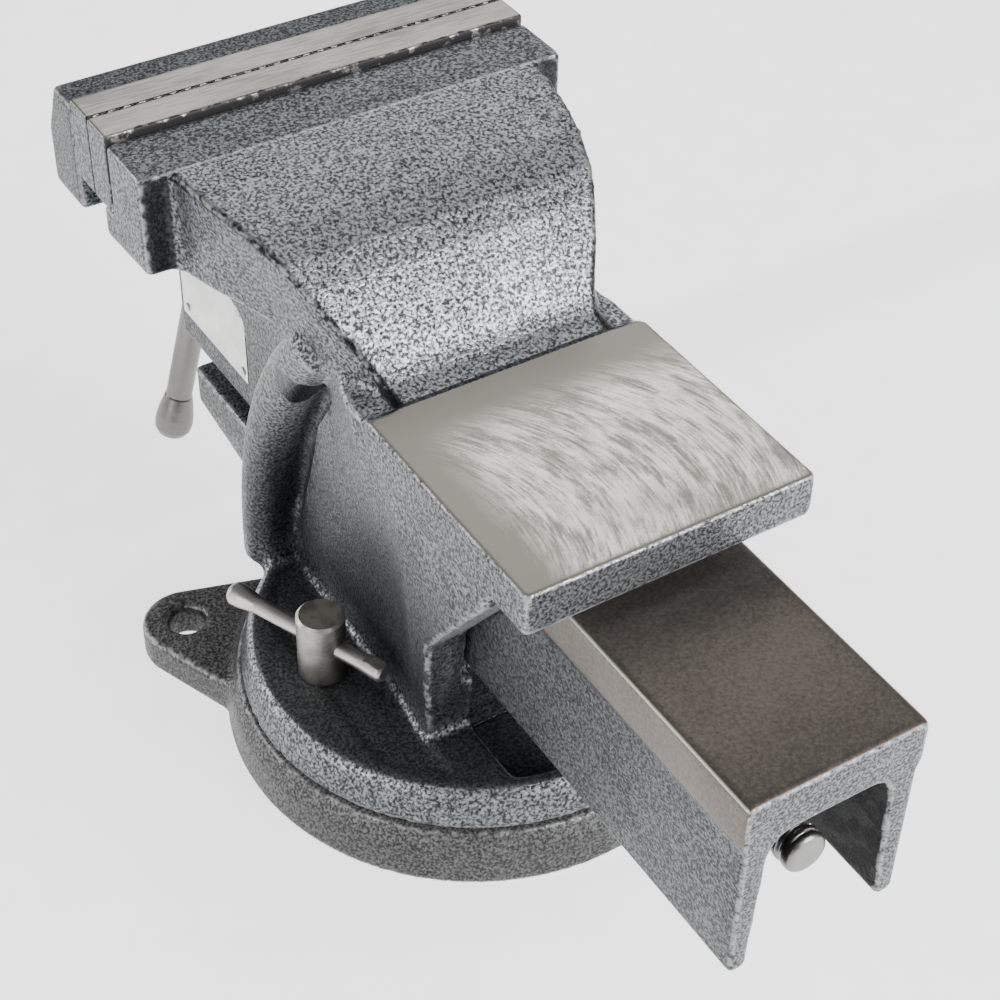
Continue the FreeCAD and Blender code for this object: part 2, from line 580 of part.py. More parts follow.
nut = new_body("spindle_nut")
pad(nut, "XZ", d("nut_front"), d("nut_back"), [
    (-d("nut_half"), d("floor_top")), (d("nut_half"), d("floor_top")), (d("nut_half"), d("screw_z") + 7),
    (10, d("screw_z") + 15.5), (-10, d("screw_z") + 15.5), (-d("nut_half"), d("screw_z") + 7)])
pocket(nut, "XZ", d("nut_front"), d("nut_back"), ("circle", 0, d("screw_z"), d("screw_radius") + d("run")))
pocket(nut, "XY", d("floor_top"), 77, ("circle", 0, 0, d("bolt_radius") + d("run")))
dress(nut, "Fillet", 2.0, lambda e: along(e, V(0, 1, 0)) and e.BoundBox.ZMin > 90)

nut_bolt = new_body("nut_bolt")
pad(nut_bolt, "XY", 10.5, 17, [
    (d("bolt_head") * math.cos(math.radians(a)), d("bolt_head") * math.sin(math.radians(a)))
    for a in range(0, 360, 60)])
pad(nut_bolt, "XY", 16.5, 75.5, ("circle", 0, 0, d("bolt_radius")))
dress(nut_bolt, "Chamfer", 1.0, lambda e: e.BoundBox.ZMin > 75.4)
nut_washer = new_body("nut_washer")
pad(nut_washer, "XY", 17, 19, ("circle", 0, 0, 10.5))
pocket(nut_washer, "XY", 17, 19, ("circle", 0, 0, 5.3))

# --- main handle --------------------------------------------------------------------------

lean = (V(0, 1, 0), -d("handle_tilt"))
centre = (0, d("handle_y"), d("screw_z"))
bar = new_body("main_handle_bar", at=centre, turn=lean)
cap_start = -d("handle_down") + d("cap_length")
cap_top = d("head_radius") + 1.5
revolve(bar, "XZ", "V_Axis", [
    (0, cap_start - 8), (3.4, cap_start - 8), (3.4, cap_start), (d("handle_radius"), cap_start),
    (d("handle_radius"), cap_top), (3.4, cap_top), (3.4, cap_top + 8), (0, cap_top + 8)])


def handle_cap(label, start, way):
    """A flared cap pressed on the end of the bar; way is +1 upward, -1 downward."""
    cap = new_body(label, at=centre, turn=lean)
    outline = [(3.4, 0), (d("handle_radius"), 0), (d("handle_radius") + 0.4, 0.6), (6.6, 5.0),
               (d("cap_radius") - 0.2, 9.5), (d("cap_radius"), 12.5), (d("cap_radius") - 0.4, 15.5),
               (d("cap_radius") - 2.0, 18.0), (3.6, d("cap_length")), (0, d("cap_length")), (0, 8), (3.4, 8)]
    revolve(cap, "XZ", "V_Axis", [(r, start + way * Dim.of(z)) for r, z in outline])
    return cap


handle_cap("handle_cap_lower", cap_start, -1)
handle_cap("handle_cap_upper", cap_top, 1)

# --- lock bolts, their bars and T-nuts ------------------------------------------------------


def lock_set(side, sign, angle, far, near):
    """One lock bolt with its sliding bar and the T-nut in the ring slot below it."""
    place = (sign * d("lock_x"), d("lock_y"), 0)
    bolt = new_body("lock_bolt_" + side, at=place)
    revolve(bolt, "XZ", "V_Axis", [
        (0, 6.5), (d("lock_shank") - 1, 6.5), (d("lock_shank"), 7.5), (d("lock_shank"), d("plate_top")),
        (d("lock_head"), d("plate_top")), (d("lock_head"), d("lock_top") - 1),
        (d("lock_head") - 1, d("lock_top")), (0, d("lock_top"))])
    hole = bolt.newObject("PartDesign::Pocket", "bolt_eye_" + side)
    hole_sketch = new_sketch(bolt, "YZ", 0, [("circle", 0, d("lock_bar_z"), d("lock_bar_radius") + 0.08)])
    hole_sketch.AttachmentOffset = FreeCAD.Placement(V(), FreeCAD.Rotation(V(0, 1, 0), angle))
    hole_sketch.setExpression("AttachmentOffset.Base.z", "0")
    hole.Profile = hole_sketch
    hole.SideType = "Symmetric"
    hole.Length = 40
    finish(bolt, hole)
    lock_bar = new_body("lock_bar_" + side, at=(place[0], place[1], d("lock_bar_z")))
    lock_bar.Placement = FreeCAD.Placement(V(), FreeCAD.Rotation(V(0, 0, 1), angle))
    for letter, part in zip("xyz", (place[0], place[1], d("lock_bar_z"))):
        lock_bar.setExpression("Placement.Base." + letter, part.text)
    revolve(lock_bar, "XY", "H_Axis", [
        (-far, 0), (-far, 3.2), (-far + 1.5, 4.2), (-far + 5, 4.0), (-far + 11, d("lock_bar_radius")),
        (near - 9, d("lock_bar_radius")), (near - 4, 3.5), (near - 1.2, 3.6), (near, 3.0), (near, 0)])
    t_nut = new_body("lock_t_nut_" + side, at=place)
    pad(t_nut, "XY", d("slot_floor") + 0.6, d("slot_lip") - 0.4, box(-9.3, 9.3, -9, 9))
    pocket(t_nut, "XY", d("slot_floor"), d("slot_lip"), ("circle", 0, 0, d("lock_shank") + d("run")))
    return bolt


lock_set("left", 1, 112.6, 38.0, 26.0)
lock_set("right", -1, 94.0, 31.0, 33.0)

# --- jaw screws and nameplate ---------------------------------------------------------------

cap_screws("fixed_jaw_screws", 1)
cap_screws("moving_jaw_screws", -1)
plate = new_body("nameplate")
face = d("beam_low_half")
pad(plate, "YZ", face, face + 1.0, box(d("name_front"), d("name_back"), d("name_low"), d("name_high")))
pins = new_body("nameplate_pins")
spots = [("circle", y, z, 1.1) for y in (d("name_front") + 3.5, d("name_back") - 3.5)
         for z in (d("name_low") + 3.5, d("name_high") - 3.5)]
pocket(plate, "YZ", face, face + 1.0, *spots)
pad(pins, "YZ", face - 3, face + 1.0, *spots)
heads = [(kind, y, z, 1.7) for kind, y, z, r in spots]
pad(pins, "YZ", face + 1.0, face + 1.5, *heads)
pocket(jaw, "YZ", face - 3, face + 0.1, *spots)

# --- check and write --------------------------------------------------------------------------

doc.recompute()
for item in doc.Objects:
    if "Invalid" in item.State or "Error" in item.State:
        raise RuntimeError("%s is not valid" % item.Label)
os.makedirs("parts", exist_ok=True)
for item in doc.Objects:
    if item.TypeId != "PartDesign::Body":
        continue
    if item.Shape.isNull() or not item.Shape.isValid():
        raise RuntimeError("%s has no valid shape" % item.Label)
    item.Shape.exportStep("parts/%s.step" % item.Label)
    print(item.Label, round(item.Shape.Volume / 1000, 2), "cm3", len(item.Shape.Solids))
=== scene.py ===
import math

import bpy
import numpy as np
import openvdb as vdb
from mathutils import Matrix, Vector


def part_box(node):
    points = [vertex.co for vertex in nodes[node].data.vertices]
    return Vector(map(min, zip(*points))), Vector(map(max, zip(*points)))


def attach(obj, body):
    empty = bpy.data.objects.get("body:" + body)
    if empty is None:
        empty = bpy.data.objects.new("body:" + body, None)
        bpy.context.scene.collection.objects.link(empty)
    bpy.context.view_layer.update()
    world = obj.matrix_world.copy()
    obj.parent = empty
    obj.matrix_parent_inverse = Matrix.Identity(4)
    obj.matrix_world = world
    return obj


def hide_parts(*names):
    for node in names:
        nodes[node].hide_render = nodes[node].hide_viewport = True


# Looks of the bench vise. Metres, +Z up, -Y towards the main handle.

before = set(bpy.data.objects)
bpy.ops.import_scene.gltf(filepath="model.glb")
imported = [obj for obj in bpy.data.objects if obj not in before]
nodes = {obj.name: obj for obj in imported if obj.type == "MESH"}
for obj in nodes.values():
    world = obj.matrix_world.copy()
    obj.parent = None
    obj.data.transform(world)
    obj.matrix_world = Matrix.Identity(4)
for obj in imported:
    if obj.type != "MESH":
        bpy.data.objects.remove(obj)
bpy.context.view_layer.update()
MM = 0.001

# sizes of the CAD model, in millimetres
ANVIL_HALF, ANVIL_FRONT, ANVIL_BACK, ANVIL_LOW, ANVIL_TOP = 48.6, 17, 102, 138.5, 153.6
JAW_MEET = -108.0
SCREW_Z = 90.0
TROUGH_REACH = 71.0
# upper edge of the neck: Y, half width and height
NECK_EDGE = [(-71, 65, 194), (-60, 63.5, 193.7), (-46, 61, 192.4), (-34, 58.2, 190.4), (-21.5, 54.2, 186.4),
             (-13.5, 50.4, 180), (-6, 46.2, 172.2), (0, 41.9, 165.4), (4.5, 38.9, 159.2), (9.5, 37.2, 155),
             (17, 36.6, 153.4)]

# sizes that only the looks have, in millimetres
CUTTER_RADIUS, CUTTER_Y = 64.0, 75.0
DASH_SPACING = 5.2
REACH = 6.0

CASTING_PITCH = 0.8 * MM
FINE_GRAIN, COARSE_GRAIN = 0.9 * MM, 1.0 * MM
SIDE, BACK, UP = 0, 1, 2


# --- camera, light and floor ---------------------------------------------------------------

def make_camera():
    azimuth, elevation, roll = (math.radians(a) for a in (146.93, 41.54, -1.42))
    back = Vector((math.sin(azimuth) * math.cos(elevation), -math.cos(azimuth) * math.cos(elevation),
                   math.sin(elevation)))
    right = (-back).cross(Vector((0, 0, 1))).normalized()
    up = back.cross(right)
    turned_right = math.cos(roll) * right - math.sin(roll) * up
    turned_up = math.sin(roll) * right + math.cos(roll) * up
    data = bpy.data.cameras.new("camera")
    data.sensor_width = 36
    data.lens = 76.1
    camera = bpy.data.objects.new("camera", data)
    camera.matrix_world = Matrix((
        (*turned_right, 0), (*turned_up, 0), (*back, 0), (0, 0, 0, 1))).transposed()
    camera.location = Vector((271.2, 430.4, 539.5)) * MM
    bpy.context.scene.collection.objects.link(camera)
    bpy.context.scene.camera = camera


def soft_light(name, place, aim, size, watts):
    data = bpy.data.lights.new(name, "AREA")
    data.shape = "RECTANGLE"
    data.size, data.size_y = size
    data.energy = watts
    light = bpy.data.objects.new(name, data)
    light.location = place
    light.rotation_euler = (Vector(aim) - Vector(place)).to_track_quat("-Z", "Y").to_euler()
    bpy.context.scene.collection.objects.link(light)


def make_studio():
    world = bpy.data.worlds.new("studio")
    bpy.context.scene.world = world
    world.use_nodes = True
    background = world.node_tree.nodes["Background"]
    background.inputs["Color"].default_value = (1.0, 1.0, 1.0, 1)
    background.inputs["Strength"].default_value = 0.22
    middle = (0, 0, 0.1)
    soft_light("key", (-0.55, 1.25, 0.85), middle, (0.9, 0.9), 40)
    soft_light("side", (1.35, 0.35, 0.55), middle, (0.8, 0.8), 9)
    soft_light("rim", (1.0, -1.0, 0.55), middle, (0.6, 0.6), 7)
    soft_light("back", (-0.6, -0.95, 1.0), middle, (1.0, 0.9), 5)


def make_floor():
    """A pale bench top that dips in front of the vise, where the handle hangs."""
    far, dip = 4.0, 0.02
    start, end = -0.095, -0.180
    steps = 24
    outline = [(far, 0.0)]
    for step in range(steps + 1):
        share = step / steps
        outline.append((start + (end - start) * share, -dip * (1 - math.cos(math.pi * share)) / 2))
    outline.append((-far, -dip))
    mesh = bpy.data.meshes.new("floor")
    points = [(x, y, z) for y, z in outline for x in (-far, far)]
    faces = [(2 * i, 2 * i + 1, 2 * i + 3, 2 * i + 2) for i in range(len(outline) - 1)]
    mesh.from_pydata(points, [], faces)
    mesh.shade_smooth()
    floor = bpy.data.objects.new("floor", mesh)
    bpy.context.scene.collection.objects.link(floor)
    paper = Nodes("paper")
    grain = paper.noise(paper.place(), 60, detail=4)
    tone = paper.ramp(grain, [(0.3, grey(0.86)), (0.7, grey(0.90))])
    paper.finish(tone, 0.9)
    paper.link(paper.shader.inputs["Emission Color"], tone)
    paper.shader.inputs["Emission Strength"].default_value = 1.9
    mesh.materials.append(paper.material)


# --- materials --------------------------------------------------------------------------------

def grey(level, warm=0.0):
    """A grey colour; warm above 0 leans to yellow, below 0 to blue."""
    return (level * (1 + warm), level, level * (1 - warm), 1)


# bright edge colour: bare metal where paint is worn, and painted highlight
BARE_EDGE_SHEEN = grey(0.6)
# near black: painted shade in inner corners and in the gaps at the jaw joint, and the black band on the plates
NEAR_BLACK = grey(0.012)
SHADED = grey(0.03, -0.1)
# painted highlight colour for the slide's bevels
BEVEL_HIGHLIGHT = (0.62, 0.58, 0.52, 1)


class Nodes:
    """A procedural material, put together node by node."""

    def __init__(self, name):
        self.material = bpy.data.materials.new(name)
        self.material.use_nodes = True
        self.tree = self.material.node_tree
        self.shader = self.tree.nodes["Principled BSDF"]
        self.coordinates = self.tree.nodes.new("ShaderNodeTexCoord")

    def link(self, socket, value):
        if isinstance(value, bpy.types.NodeSocket):
            self.tree.links.new(value, socket)
        else:
            socket.default_value = value

    def place(self, scale=(1, 1, 1)):
        """Position on the object in metres, stretched by scale."""
        if scale == (1, 1, 1):
            return self.coordinates.outputs["Object"]
        node = self.tree.nodes.new("ShaderNodeMapping")
        self.link(node.inputs["Vector"], self.coordinates.outputs["Object"])
        node.inputs["Scale"].default_value = scale
        return node.outputs["Vector"]

    def split(self, vector):
        node = self.tree.nodes.new("ShaderNodeSeparateXYZ")
        self.link(node.inputs[0], vector)
        return node.outputs

    def join(self, x, y, z):
        node = self.tree.nodes.new("ShaderNodeCombineXYZ")
        for socket, value in zip(node.inputs, (x, y, z)):
            self.link(socket, value)
        return node.outputs[0]

    def math(self, kind, a, b=0.0):
        node = self.tree.nodes.new("ShaderNodeMath")
        node.operation = kind
        for socket, value in zip(node.inputs, (a, b)):
            self.link(socket, value)
        return node.outputs[0]

    def noise(self, vector, scale, detail=2.0, rough=0.5, warp=0.0):
        node = self.tree.nodes.new("ShaderNodeTexNoise")
        self.link(node.inputs["Vector"], vector)
        for name, value in (("Scale", scale), ("Detail", detail), ("Roughness", rough), ("Distortion", warp)):
            self.link(node.inputs[name], value)
        return node.outputs["Fac"]

    def between(self, value, low, high):
        """0 below low, 1 above high, smooth between."""
        node = self.tree.nodes.new("ShaderNodeMapRange")
        node.interpolation_type = "SMOOTHSTEP"
        self.link(node.inputs["Value"], value)
        node.inputs["From Min"].default_value = low
        node.inputs["From Max"].default_value = high
        return node.outputs["Result"]

    def ramp(self, value, stops):
        node = self.tree.nodes.new("ShaderNodeValToRGB")
        self.link(node.inputs["Fac"], value)
        band = node.color_ramp.elements
        while len(band) < len(stops):
            band.new(0.5)
        for element, (position, colour) in zip(band, stops):
            element.position = position
            element.color = colour
        return node.outputs["Color"]

    def mix(self, share, a, b, kind="MIX"):
        node = self.tree.nodes.new("ShaderNodeMix")
        node.data_type = "RGBA"
        node.blend_type = kind
        self.link(node.inputs["Factor"], share)
        for name, value in (("A", a), ("B", b)):
            sockets = [s for s in node.inputs if s.name == name and s.type == "RGBA"]
            self.link(sockets[0], value)
        return [s for s in node.outputs if s.type == "RGBA"][0]

    def blend(self, share, a, b):
        """Between numbers a and b."""
        node = self.tree.nodes.new("ShaderNodeMix")
        node.data_type = "FLOAT"
        for socket, value in zip((node.inputs[0], node.inputs[2], node.inputs[3]), (share, a, b)):
            self.link(socket, value)
        return node.outputs[0]

    def attribute(self, name):
        node = self.tree.nodes.new("ShaderNodeAttribute")
        node.attribute_name = name
        return node.outputs["Fac"]

    def facing(self, axis):
        """How much the surface faces along an axis of the object."""
        return self.split(self.coordinates.outputs["Normal"])[axis]

    def under(self, value, limit, fade):
        """0 above limit, 1 once the value is fade below it."""
        return self.between(self.math("SUBTRACT", limit, value), 0.0, fade)

    def close_to(self, value, centre, reach, fade):
        """0 further than reach from centre, 1 once the value is fade nearer."""
        return self.under(self.math("ABSOLUTE", self.math("SUBTRACT", value, centre)), reach, fade)

    def both(self, *masks):
        product = masks[0]
        for mask in masks[1:]:
            product = self.math("MULTIPLY", product, mask)
        return product

    def weigh(self, *parts):
        """Sum of values, each times its weight."""
        terms = [self.math("MULTIPLY", value, weight) for value, weight in parts]
        total = terms[0]
        for term in terms[1:]:
            total = self.math("ADD", total, term)
        return total

    def strongest(self, *parts):
        """Largest of values, each times its weight."""
        terms = [self.math("MULTIPLY", value, weight) for value, weight in parts]
        top = terms[0]
        for term in terms[1:]:
            top = self.math("MAXIMUM", top, term)
        return top

    def bump(self, height, distance, strength=1.0, below=None):
        node = self.tree.nodes.new("ShaderNodeBump")
        self.link(node.inputs["Height"], height)
        self.link(node.inputs["Strength"], strength)
        node.inputs["Distance"].default_value = distance
        if below is not None:
            self.link(node.inputs["Normal"], below)
        return node.outputs["Normal"]

    def finish(self, colour, roughness, metallic=0.0, normal=None, **constants):
        shader = self.shader
        self.link(shader.inputs["Base Color"], colour)
        self.link(shader.inputs["Roughness"], roughness)
        self.link(shader.inputs["Metallic"], metallic)
        if normal is not None:
            self.link(shader.inputs["Normal"], normal)
        for name, value in constants.items():
            shader.inputs[name.replace("_", " ")].default_value = value
        return self.material


def hammertone(m, dark, light, grain):
    """Colour, fleck level and bump height of hammered silver paint; grain is the fleck size in metres."""
    spot = m.place()
    flow = m.noise(spot, 0.95 / grain, detail=1.2, rough=0.5, warp=0.25)
    fine = m.noise(spot, 2.4 / grain, detail=1)
    height = m.weigh((flow, 0.75), (fine, 0.25))
    cloud = m.between(m.noise(spot, 45, detail=3), 0.25, 0.75)
    level = m.weigh((m.between(height, 0.36, 0.64), 0.88), (cloud, 0.12))
    middle = tuple(a * 0.55 + b * 0.45 for a, b in zip(dark, light))
    return m.ramp(level, [(0.0, dark), (0.55, middle), (1.0, light)]), level, height


def paint_gloss(m, level):
    """Roughness and metallic share of hammered paint: the flecks are smoother and more metallic."""
    return m.blend(level, 0.46, 0.32), m.blend(level, 0.35, 0.7)


def edge_wear_sheen_and_corner_shade(m, colour, bright, corner_shade):
    """Sharp edges brightened, partly as worn paint and partly as painted highlight; inner corners darkened with
    painted shade.
    """
    edge = m.attribute("edge")
    patch = m.noise(m.place(), 350, detail=3)
    worn_sheen = m.both(m.between(edge, 0.35, 1.0), m.between(patch, 0.35, 0.6))
    colour = m.mix(m.math("MULTIPLY", worn_sheen, bright), colour, BARE_EDGE_SHEEN)
    # painted shade in inner corners
    return m.mix(m.math("MULTIPLY", m.between(edge, -0.25, -1.2), corner_shade), colour, NEAR_BLACK)


def flank(m, up):
    """1 on upright faces, 0 on level ones."""
    return m.under(m.math("ABSOLUTE", up), 0.62, 0.4)


def paint_base():
    m = Nodes("hammered_base")
    colour, level, height = hammertone(m, grey(0.026), grey(0.20), FINE_GRAIN)
    # painted shade on upright faces
    colour = m.mix(m.math("MULTIPLY", flank(m, m.facing(UP)), 0.45), colour, grey(0.03), "MULTIPLY")
    colour = edge_wear_sheen_and_corner_shade(m, colour, 0.55, 0.6)
    return m.finish(colour, m.blend(level, 0.46, 0.34), m.blend(level, 0.35, 0.6), m.bump(height, 0.0004, 0.6),
                    Specular_IOR_Level=0.25)


def anvil_steel(m, spot):
    """Colour, roughness and height of a face milled by a wide cutter moving along X, with a painted sheen: the
    streaks turn bright only in a patch on the +X half.
    """
    x, y, z = spot
    across = m.math("SUBTRACT", y, CUTTER_Y * MM)
    rest = m.math("SUBTRACT", (CUTTER_RADIUS * MM) ** 2, m.math("MULTIPLY", across, across))
    swept = m.math("ADD", x, m.math("SQRT", m.math("MAXIMUM", rest, 0.0)))

    def trail(stretch, scale, detail, rough):
        return m.noise(m.join(m.math("MULTIPLY", swept, stretch), y, z), scale, detail, rough)

    streak = m.weigh((trail(14.0, 95, 4, 0.7), 0.40), (trail(5.0, 1100, 2, 0.7), 0.22),
                     (trail(3.0, 75, 4, 0.6), 0.38))
    cloud = m.noise(m.place(), 28, detail=3)
    from_side = m.math("SUBTRACT", ANVIL_HALF * MM, x)
    # painted sheen: the milling streaks turn bright only in this patch
    sheen_patch = m.both(m.between(from_side, 0.006, 0.024), m.between(y, 0.026, 0.045),
                    m.under(y, (ANVIL_BACK - 0.5) * MM, 0.0025), m.between(cloud, 0.05, 0.45))
    lines = m.both(m.between(streak, 0.42, 0.58), sheen_patch)
    colour = m.mix(lines, (0.34, 0.325, 0.285, 1), (0.92, 0.885, 0.80, 1))
    return colour, m.blend(lines, 0.46, 0.34), streak


def column_shadow_pool(m, side, y, z):
    """Painted shadow, dark and glossy, where each column runs into the cheek."""
    centre, size = (45.0, -31.5, 133.5), (11.0, 7.5, 11.5)
    away = 0.0
    for value, middle, half in zip((side, y, z), centre, size):
        share = m.math("DIVIDE", m.math("SUBTRACT", value, middle * MM), half * MM)
        away = m.math("ADD", away, m.math("MULTIPLY", share, share))
    ragged = m.weigh((away, 1.0), (m.noise(m.place(), 160, detail=4), 0.9))
    return m.under(ragged, 1.5, 0.4)


def paint_body():
    m = Nodes("hammered_body")
    spot = m.split(m.place())
    x, y, z = spot
    side, up = m.math("ABSOLUTE", x), m.facing(UP)
    colour, level, height = hammertone(m, grey(0.012, -0.05), grey(0.50, -0.05), COARSE_GRAIN)
    # painted shade: the masks below darken the plate top, jaw top, jaw rear face, column valleys, upright sides
    # (most near the bottom) and the foot of the neck
    plate_top = m.both(m.under(z, 0.0385, 0.003), m.between(up, 0.75, 0.95))
    jaw_top = m.both(m.under(y, -0.0712, 0.0005), m.between(up, 0.6, 0.9))
    jaw_rear = m.both(m.between(side, 0.064, 0.066), m.between(m.facing(BACK), 0.5, 0.8),
                      m.between(z, 0.15, 0.155))
    valley = m.both(m.under(side, 0.041, 0.004), m.under(y, -0.022, 0.02), m.between(side, 0.0325, 0.0335),
                    m.under(z, 0.14, 0.02))
    low_side = m.both(m.between(z, 0.036, 0.050), m.under(z, 0.140, 0.06))
    sides = m.both(flank(m, up), m.math("ADD", m.math("MULTIPLY", low_side, 0.28), 0.56))
    neck_foot = m.both(m.close_to(y, 0.0162, 0.0011, 0.0006), m.between(z, 0.1500, 0.1520),
                       m.under(side, 0.046, 0.004))
    # painted shadow where each column runs into the cheek
    shadow_pool = column_shadow_pool(m, side, y, z)
    # all painted shade, together with the painted crease shadow and the column shadow pool
    shade = m.strongest((plate_top, 0.48), (jaw_top, 0.50), (sides, 1.0), (neck_foot, 0.85), (jaw_rear, 0.96),
                        (valley, 0.75), (m.attribute("crease"), 1.0), (shadow_pool, 0.93))
    colour = m.mix(shade, colour, SHADED, "MULTIPLY")
    # painted shade: the plate top is darkened further and its flecks dulled
    colour = m.mix(m.math("MULTIPLY", plate_top, 0.45), colour, grey(0.05, -0.05))
    # painted highlight along the edge where the jaw top meets the neck
    lip_highlight = m.both(m.close_to(y, -0.0712, 0.0009, 0.0006), m.between(up, 0.5, 0.8),
                 m.between(m.noise(m.place(), 500, detail=2), 0.35, 0.55))
    colour = m.mix(m.math("MULTIPLY", lip_highlight, 0.45), colour, grey(0.65))
    colour = edge_wear_sheen_and_corner_shade(m, colour, 0.35, 0.75)
    paint_rough, paint_metal = paint_gloss(m, level)
    steel_colour, steel_rough, steel_height = anvil_steel(m, spot)
    milled = m.both(m.between(z, 0.1530, 0.1534), m.between(y, 0.0168, 0.0174), m.between(up, 0.8, 0.95))
    colour = m.mix(milled, colour, steel_colour)
    rough = m.blend(milled, m.blend(shadow_pool, paint_rough, 0.22), steel_rough)
    metal = m.blend(milled, paint_metal, 1.0)
    paint_normal = m.bump(height, 0.0005, m.blend(milled, 0.7, 0.0))
    normal = m.bump(steel_height, 0.00005, milled, paint_normal)
    return m.finish(colour, rough, metal, normal, Specular_IOR_Level=0.25)


def slide_steel(m, side, up):
    """Colour and height of the dark machined faces of the slide, with a painted highlight on the bevels."""
    speck = m.noise(m.place(), 1100, detail=2)
    grit = m.noise(m.place(), 800, detail=3, rough=0.7)
    stain = m.weigh((m.noise(m.place(), 16, detail=6, rough=0.6), 0.5), (grit, 0.5))
    colour = m.mix(m.between(stain, 0.36, 0.64), (0.095, 0.083, 0.074, 1), (0.175, 0.152, 0.134, 1))
    colour = m.mix(m.math("MULTIPLY", m.between(speck, 0.60, 0.72), 0.35), colour, (0.22, 0.20, 0.18, 1))
    # painted highlight on the bevels along the top edges
    bevel = m.both(m.between(side, 0.0288, 0.0292), m.between(up, 0.3, 0.5), m.under(up, 0.95, 0.1))
    return m.mix(bevel, colour, BEVEL_HIGHLIGHT), m.weigh((speck, 0.10), (grit, 0.12))


def paint_slide():
    m = Nodes("hammered_slide")
    x, y, z = m.split(m.place())
    side, up = m.math("ABSOLUTE", x), m.facing(UP)
    colour, level, height = hammertone(m, grey(0.014, -0.06), grey(0.33, -0.06), FINE_GRAIN)
    hollow = m.both(m.under(side, 0.0240, 0.0006), m.between(y, -0.139, -0.137), m.under(y, 0.1762, 0.0006),
                    m.under(z, 0.1185, 0.001))
    scale = m.between(m.noise(m.place(), 120, detail=5, rough=0.7), 0.45, 0.62)
    colour = m.mix(hollow, colour, m.mix(scale, grey(0.008), grey(0.06)))
    # painted shade: darker jaw top and upright faces, most on faces turned sideways
    jaw_top = m.both(m.under(y, -0.1205, 0.0005), m.between(up, 0.6, 0.9))
    sides = m.between(m.math("ABSOLUTE", m.facing(SIDE)), 0.5, 0.8)
    shade = m.strongest((jaw_top, 0.45), (flank(m, up), 0.40), (sides, 0.66))
    colour = m.mix(shade, colour, SHADED, "MULTIPLY")
    colour = edge_wear_sheen_and_corner_shade(m, colour, 0.35, 0.6)
    not_end = m.under(m.math("ABSOLUTE", m.facing(BACK)), 0.8, 0.3)
    top = m.both(m.between(z, 0.1315, 0.1322), m.between(up, 0.5, 0.7))
    strip = m.both(m.between(side, 0.0290, 0.0293), m.between(z, 0.1168, 0.1172))
    milled = m.both(m.math("MAXIMUM", top, strip), m.between(y, -0.112, -0.110), not_end)
    steel_colour, steel_height = slide_steel(m, side, up)
    paint_rough, paint_metal = paint_gloss(m, level)
    colour = m.mix(milled, colour, steel_colour)
    rough = m.math("ADD", m.blend(milled, paint_rough, 0.46), m.math("MULTIPLY", hollow, 0.4))
    metal = m.both(m.blend(milled, paint_metal, 0.85), m.math("SUBTRACT", 1.0, hollow))
    normal = m.bump(m.blend(milled, height, steel_height), 0.0005, 0.7)
    return m.finish(colour, rough, metal, normal, Specular_IOR_Level=0.2)


def steel(name, level, warm=0.02, rough=0.3, depth=0.00004):
    """Bare metal with a fine grain and soft clouds."""
    m = Nodes(name)
    fine = m.noise(m.place(), 2500, detail=3)
    cloud = m.noise(m.place(), 90, detail=3)
    colour = m.mix(m.between(cloud, 0.3, 0.75), grey(level * 0.82, warm), grey(level * 1.08, warm))
    colour = m.mix(m.between(fine, 0.35, 0.7), m.mix(1.0, colour, grey(0.85), "MULTIPLY"), colour)
    return m.finish(colour, m.blend(fine, rough - 0.08, rough + 0.12), 1.0, m.bump(fine, depth))


def lock_bolt_steel():
    """Turned steel with a brown top between bright bevels."""
    m = Nodes("lock_bolt_metal")
    z = m.split(m.place())[UP]
    turned = m.noise(m.place((1, 1, 30)), 400, detail=3)
    cloud = m.noise(m.place(), 160, detail=4)
    level = m.weigh((turned, 0.5), (cloud, 0.5))
    colour = m.mix(m.between(level, 0.38, 0.62), (0.22, 0.215, 0.195, 1), (0.40, 0.39, 0.36, 1))
    top = m.both(m.between(z, 0.0597, 0.0599), m.between(m.facing(UP), 0.9, 0.97))
    brown = m.mix(m.between(cloud, 0.4, 0.6), (0.38, 0.36, 0.30, 1), (0.60, 0.57, 0.49, 1))
    colour = m.mix(top, colour, brown)
    bevel = m.both(m.between(z, 0.0588, 0.0591), m.math("SUBTRACT", 1.0, top))
    colour = m.mix(m.math("MULTIPLY", bevel, 0.8), colour, (0.62, 0.60, 0.55, 1))
    return m.finish(colour, m.blend(level, 0.34, 0.46), 1.0, m.bump(level, 0.00006))


